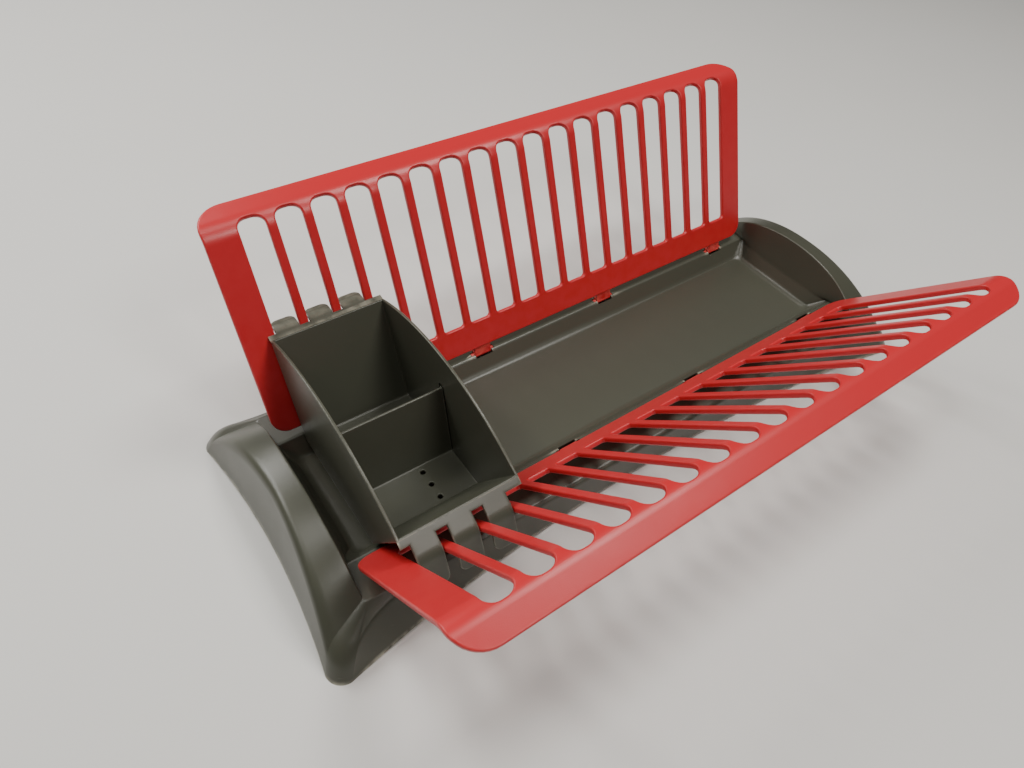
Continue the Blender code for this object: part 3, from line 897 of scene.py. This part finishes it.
def extruded(points, left, right):
    """A solid with a side view of (y, z) points, between two places along X."""
    shape = bmesh.new()
    face = shape.faces.new([shape.verts.new((left, y, z)) for y, z in points])
    grown = bmesh.ops.extrude_face_region(shape, geom=[face])
    moved = [item for item in grown["geom"] if isinstance(item, bmesh.types.BMVert)]
    bmesh.ops.translate(shape, vec=(right - left, 0, 0), verts=moved)
    return shape


front_slope = (holder_front_reach - holder_base_front) / (holder_front_height - holder_base_height)
rear_slope = (holder_rear_reach - holder_base_rear) / (holder_rear_height - holder_base_height)


def wall_lines(inset, floor, top):
    """The four corners of the V between the leaning walls, drawn in by a wall, from a floor to a top."""
    front_in = inset * math.hypot(1, front_slope)
    rear_in = inset * math.hypot(1, rear_slope)
    front_low = Vector((-holder_base_front - (floor - holder_base_height) * front_slope + front_in, floor))
    rear_low = Vector((holder_base_rear + (floor - holder_base_height) * rear_slope - rear_in, floor))
    rear_high = Vector((holder_base_rear + (top - holder_base_height) * rear_slope - rear_in, top))
    front_high = Vector((-holder_base_front - (top - holder_base_height) * front_slope + front_in, top))
    return front_low, rear_low, rear_high, front_high


def arched_top():
    """The side walls' arched top edge, from the rear corner to the front corner."""
    rear = Vector((holder_rear_reach, holder_rear_height))
    front = Vector((-holder_front_reach, holder_front_height))
    chord = rear - front
    rise = math.sqrt(holder_arch_radius**2 - (chord.length / 2) ** 2)
    centre = (rear + front) / 2 - rise * Vector((-chord.y, chord.x)).normalized()
    start = rear - centre
    sweep = start.angle_signed(front - centre)
    return [centre + Matrix.Rotation(-sweep * i / arch_steps, 2) @ start for i in range(arch_steps + 1)]


def holder_body():
    """The holder's box: its side view drawn out, with two rooms and the drain holes cut from it."""
    high = holder_arch_radius
    front_low, rear_low, rear_high, front_high = wall_lines(0, holder_base_height, high)
    outline = turn_corner(front_high, front_low, rear_low, holder_corner, outline_steps)
    outline += turn_corner(front_low, rear_low, rear_high, holder_corner, outline_steps)
    outline += arched_top()
    floor = holder_base_height + holder_floor
    front_low, rear_low, rear_high, front_high = wall_lines(holder_wall, floor, high)
    lean = (divider_foot_place - divider_top_place) / (divider_height - holder_base_height)
    half = divider_wall / 2
    left, right = holder_left + holder_wall, holder_right - holder_wall

    def divider_at(height):
        return -divider_foot_place + (height - holder_base_height) * lean

    foot_front = Vector((divider_at(floor) - half, floor))
    foot_rear = Vector((divider_at(floor) + half, floor))
    top_front = Vector((divider_at(high) - half, high))
    top_rear = Vector((divider_at(high) + half, high))
    front_room = turn_corner(front_high, front_low, foot_front, room_corner, room_steps)
    front_room += turn_corner(front_low, foot_front, top_front, divider_foot_round, divider_steps)
    front_room += [top_front, front_high]
    rear_room = turn_corner(top_rear, foot_rear, rear_low, divider_foot_round, divider_steps)
    rear_room += turn_corner(foot_rear, rear_low, rear_high, room_corner, room_steps)
    rear_room += [rear_high, top_rear]
    over = bmesh.new()
    add_box(
        over,
        (left, divider_at(divider_height) - divider_wall * 2, divider_height),
        (right, divider_at(high) + divider_wall * 2, high),
    )
    drains = bmesh.new()
    front_middle = -(holder_base_front + divider_foot_place) / 2
    rear_middle = (holder_base_rear - divider_foot_place) / 2
    for middle in (front_middle, rear_middle):
        for row in (-1, 0, 1):
            place = (holder_right - drain_inset, middle + row * drain_pitch, holder_base_height)
            add_rod(drains, drain_radius, 4 * holder_floor, place, "Z", drain_sides)
    body = cut(
        to_mesh(extruded(outline, holder_left, holder_right), "body"),
        [
            ("DIFFERENCE", to_mesh(extruded(front_room, left, right), "front_room")),
            ("DIFFERENCE", to_mesh(extruded(rear_room, left, right), "rear_room")),
            ("DIFFERENCE", to_mesh(over, "over")),
            ("DIFFERENCE", to_mesh(drains, "drains")),
        ],
    )
    merge_flat(body)
    sharp = [edge for edge in body.edges if edge.calc_face_angle(0) > rounded_sharp]
    round_edges(body, sharp, holder_edge_round, body_round_steps)
    large = [face for face in body.faces if face.calc_area() > least_wall_face]
    frame_faces(body, [face for face in large if abs(face.normal.z) < level_normal])
    return body


def flange_place(start, slope, run, bend, along, depth):
    """Where a point of the flat flange goes, outward and up, once it is bent."""
    heading = math.pi / 2 + slope
    near = min(along, run)
    place = start + near * Vector((math.sin(heading), math.cos(heading)))
    if along > run:
        centre = place + flange_turn * Vector((math.cos(heading), -math.sin(heading)))
        heading += min((along - run) / flange_turn, bend)
        place = centre - flange_turn * Vector((math.cos(heading), -math.sin(heading)))
        past = max(0, along - run - flange_turn * bend)
        place = place + past * Vector((math.sin(heading), math.cos(heading)))
    return place + depth * Vector((math.cos(heading), -math.sin(heading)))


def add_flange(body, outward, reach, height, slope, root, run, bend, tail):
    """Adds a flange to the holder: a strip from the wall's top edge, with tongues between the bars.

    It slopes down, is solid up to its root, runs flat and then bends, and its tail hangs past the bend.
    """
    length = run + flange_turn * bend + tail
    strip = bmesh.new()
    add_box(strip, (holder_left, 0, 0), (holder_right, root, flange_thickness))
    tongues = []
    for i in range(tongue_count):
        slot_left = -grille_length / 2 + stile_width + i * bar_pitch
        low = (slot_left + bar_clearance, root / 2, 0)
        high = (slot_left + slot_width - bar_clearance, length, flange_thickness)
        tongue = bmesh.new()
        upright = upright_edges(add_box(tongue, low, high), flange_thickness)
        tip = [edge for edge in upright if edge.verts[0].co.y > root]
        round_edges(tongue, tip, flange_tip_round, tip_steps)
        tongues.append(("UNION", to_mesh(tongue, "tongue")))
    shape = cut(to_mesh(strip, "strip"), tongues)
    merge_flat(shape)
    round_edges(shape, flat_rim(shape, flange_thickness), holder_edge_round, flange_round_steps)
    frame_faces(shape, [face for face in shape.faces if face.calc_area() > least_strip_face])
    split_bend(shape, run, flange_turn * bend, flange_steps)
    start = Vector((reach - flange_set_in, height + flange_set_in * math.tan(slope) - flange_sink))
    for point in shape.verts:
        out, up = flange_place(start, slope, run, bend, point.co.y, point.co.z)
        point.co = (point.co.x, outward * out, up)
    mesh = to_mesh(shape, "flange")
    body.from_mesh(mesh)
    bpy.data.meshes.remove(mesh)


holder = holder_body()
add_flange(
    holder,
    outward=-1,
    reach=holder_front_reach,
    height=holder_front_height,
    slope=math.radians(36),
    root=0.0053,
    run=0.011,
    bend=math.radians(32),
    tail=0.0165,
)
add_flange(
    holder,
    outward=1,
    reach=holder_rear_reach,
    height=holder_rear_height,
    slope=math.radians(-10),
    root=0.005,
    run=0.0066,
    bend=math.radians(22),
    tail=0.004,
)
bmesh.ops.transform(holder, matrix=Matrix.Translation((0, drainer_middle, 0)), verts=holder.verts)
show("cutlery_holder_box", to_mesh(holder, "holder"), grey_plastic, "cutlery_holder")
